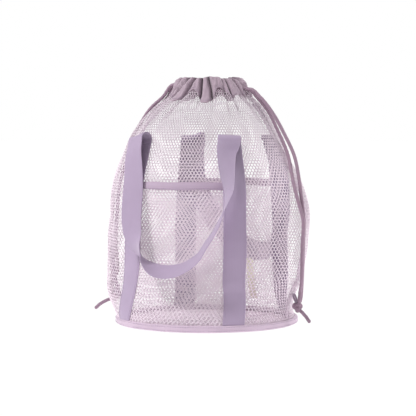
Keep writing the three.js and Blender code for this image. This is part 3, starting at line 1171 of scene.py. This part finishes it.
def cord_tab(name, side):
    """A loop of tape hanging from the seam, with the cord knotted round it."""
    foot = knot_middle(name, side) + (-side * 1.5, 0, 6.0)
    root = side_point(side, TAB_Y[name], foot[2] + TAB["height"], TAB["gap"])
    middle = (root + foot) / 2
    down = (foot - root) / 2
    across, through = tape_outline(TAB["width"], 1.0, 9)
    turn = np.linspace(0, 2 * math.pi, 60, endpoint=False)
    path = middle + np.cos(turn)[:, None] * down + np.sin(turn)[:, None] * (side * TAB["swell"], 0, 0)
    tangents = unit(np.roll(path, -1, axis=0) - np.roll(path, 1, axis=0))
    width = np.array([0.0, 1.0, 0.0])
    out = unit(np.cross(tangents, width))
    rings = path[:, None] + across[None, :, None] * width + through[None, :, None] * out[:, None]
    along = lengths_along(rings[:, 0])
    tape_piece(
        f"cord_{name}_tab", rings, across, along, "tape", "bag", [f"cord_tab_{name}"], True, "pocket_tape"
    )


# ---- Base ----


def base_cloth():
    """The round floor of the bag, a quilt-soft disc of cloth."""
    radius, thickness = 120.4, 2.0
    around, steps = 144, 30
    turn = np.linspace(0, 2 * math.pi, around, endpoint=False)
    shares = np.linspace(0.012, 1, steps)
    radii = np.concatenate([shares, shares[::-1]]) * radius
    level = np.concatenate([np.full(steps, thickness), np.zeros(steps)])
    rings = np.stack(
        [
            radii[:, None] * np.sin(turn),
            -radii[:, None] * np.cos(turn),
            np.broadcast_to(level[:, None], (2 * steps, around)),
        ],
        -1,
    )
    fade = np.clip((radius - radii) / 12, 0, 1)[:, None] * (level > 0)[:, None]
    x, y = rings[..., 0], rings[..., 1]
    rings[..., 2] += fade * (0.5 * np.sin(x / 23 + 1) * np.cos(y / 31) + 0.3 * np.sin((x + y) / 13))
    piece = make_piece("base_cloth", rings, tube_faces(2 * steps, around), "base_cloth")
    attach(piece, "bag")
    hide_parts("base_panel")


def base_rim():
    """Ribbed tape folded over the edge where the base meets the net."""
    half_height, half_depth = 4.6, 2.7
    corner = np.linspace(0, 2 * math.pi, 28, endpoint=False)
    squared = 0.62
    rise = np.sign(np.sin(corner)) * abs(np.sin(corner)) ** squared * half_height
    reach = np.sign(np.cos(corner)) * abs(np.cos(corner)) ** squared * half_depth
    turn = np.linspace(0, 2 * math.pi, 420, endpoint=False)
    waver = 0.35 * np.sin(7 * turn) + 0.25 * np.sin(13 * turn + 2) + 0.12 * np.sin(140 * turn)
    radii = 123.2 + reach[None, :] + waver[:, None] * (reach[None, :] > 0)
    rings = np.stack(
        [
            radii * np.sin(turn)[:, None],
            -radii * np.cos(turn)[:, None],
            4.6 + np.broadcast_to(rise, radii.shape) + 0.25 * np.sin(5 * turn + 1)[:, None] * (rise > 0),
        ],
        -1,
    )
    along = turn * 123.0
    tape_piece("base_rim", rings, rise, along, "tape", "bag", ["base_binding"], closed=True)
    for label, height in (("lower", 2.3), ("upper", 7.2)):
        line = np.stack([126.0 * np.sin(turn), -126.0 * np.cos(turn), np.full(len(turn), height)], -1)
        normals = np.stack([np.sin(turn), -np.cos(turn), np.zeros(len(turn))], -1)
        stitch_row(f"base_rim_stitches_{label}", line[::2], normals[::2], 2.2, 1.2, "bag", "tape", 0.25)


# ---- Seams and label ----


def seam_tape(name, angle):
    def middle(heights):
        return np.full(len(heights), angle)

    node = f"side_seam_tape_{name}"
    wall_tape(f"side_seam_{name}", middle, 11.0, 301.0, 10.0, 1.2, -2.2, "tape", [node])


def label():
    def middle(heights):
        a, _, lean = half_sizes(heights)
        return HALF_TURN - np.arcsin((28.0 - lean) / a)

    wall_tape("care_tag", middle, 24.0, 81.0, 12.0, 0.5, -2.4, "label", ["care_label"])


SURROUND = 0.4  # how brightly the white surround lights the bag


def camera_rays(tree):
    return tree.nodes.new("ShaderNodeLightPath").outputs["Is Camera Ray"]


FLOOR_GLOW = 0.3  # extra light thrown up by the floor close to the bag


def scene_floor_and_light():
    """A pale floor, a white surround and soft studio light."""
    bpy.ops.mesh.primitive_plane_add(size=120, location=(0, 0, -0.0006))
    floor = bpy.context.object
    floor.name = "floor"
    nodes = Nodes("floor_paper")
    seen = camera_rays(nodes.tree)
    # seen directly the floor is as white as the surround, so no horizon shows through the net
    nodes.link(nodes.math("MULTIPLY_ADD", seen, -0.93, 0.93), "Base Color")
    position = nodes.add("ShaderNodeTexCoord").outputs["Object"]
    reach = nodes.add("ShaderNodeVectorMath", {0: position}, operation="LENGTH").outputs["Value"]
    glow = nodes.add("ShaderNodeMapRange", {0: reach, 1: 0.15, 2: 0.6, 3: 0.22 + FLOOR_GLOW, 4: 0.22}).outputs[0]
    unseen = nodes.math("SUBTRACT", 1.0, seen)
    nodes.link(nodes.math("MULTIPLY_ADD", glow, unseen, seen), "Emission Strength")
    nodes.principled.inputs["Emission Color"].default_value = (1, 1, 1, 1)
    floor.data.materials.append(nodes.finish(0.9, 0.0))

    world = bpy.data.worlds.new("surround")
    bpy.context.scene.world = world
    world.use_nodes = True
    background = world.node_tree.nodes["Background"]
    background.inputs["Color"].default_value = (1, 1, 1, 1)
    strength = world.node_tree.nodes.new("ShaderNodeMath")
    strength.operation = "MULTIPLY_ADD"
    strength.inputs[1].default_value = 1 - SURROUND
    strength.inputs[2].default_value = SURROUND
    world.node_tree.links.new(camera_rays(world.node_tree), strength.inputs[0])
    world.node_tree.links.new(strength.outputs[0], background.inputs["Strength"])

    for name, place, power, size in (
        ("key", (-0.9, -1.1, 2.2), 47, 0.5),
        ("side", (1.7, 1.05, 0.5), 22, 0.8),
        ("back", (-0.6, 1.6, 1.2), 8, 1.0),
    ):
        light = bpy.data.lights.new(name, "AREA")
        light.energy = power
        light.size = size
        lamp = bpy.data.objects.new(name, light)
        lamp.location = place
        aim = np.array((0, 0, 0.15)) - np.array(place)
        lamp.rotation_mode = "QUATERNION"
        lamp.rotation_quaternion = Vector(aim).to_track_quat("-Z", "Y")
        bpy.context.scene.collection.objects.link(lamp)
    bpy.context.scene.view_settings.view_transform = "Standard"


def camera():
    """Looks from the right of the front, a little above the bag's middle."""
    turn = math.radians(24)
    distance, height, aim_height, aim_right = 2000.0, 256.0, 157.0, 2.0
    right = np.array([math.cos(turn), math.sin(turn), 0])
    towards = np.array([math.sin(turn), -math.cos(turn), 0])
    place = towards * distance + UP * height
    aim = right * aim_right + UP * aim_height
    lens = bpy.data.cameras.new("camera")
    lens.lens = 125.4
    lens.sensor_width = 36
    lens.clip_end = 100
    seat = bpy.data.objects.new("camera", lens)
    seat.location = place * MM
    seat.rotation_mode = "QUATERNION"
    seat.rotation_quaternion = Vector(aim - place).to_track_quat("-Z", "Y")
    bpy.context.scene.collection.objects.link(seat)
    bpy.context.scene.camera = seat


# ---- Building ----

body_net("front_net", -HALF_TURN / 2, "body_front_mesh")
body_net("back_net", HALF_TURN / 2, "body_back_mesh")
for face in ("front", "back"):
    pocket_net(face)
    pocket_mouth(face)
    sewn_strap(face, -1, "left")
    sewn_strap(face, 1, "right")
    handle(face)
casing_half("casing_cloth_front", -HALF_TURN / 2, "casing_front")
casing_half("casing_cloth_back", HALF_TURN / 2, "casing_back")

SIDES = (("right", 1), ("left", -1))
SLACK_TURN = {"right": 1, "left": -1}

for name, side in SIDES:
    turn = SLACK_TURN[name]
    cord_run(name, side)
    cord_strand(name, side, "outer", turn, f"{name}_slack_cord")
    cord_strand(name, side, "inner", -turn, "bag")
    cord_knot(name, side)
    cord_tail(name, side)
    cord_tab(name, side)
    seam_tape(name, side * HALF_TURN / 2)
base_cloth()
base_rim()
label()

scene_floor_and_light()
camera()
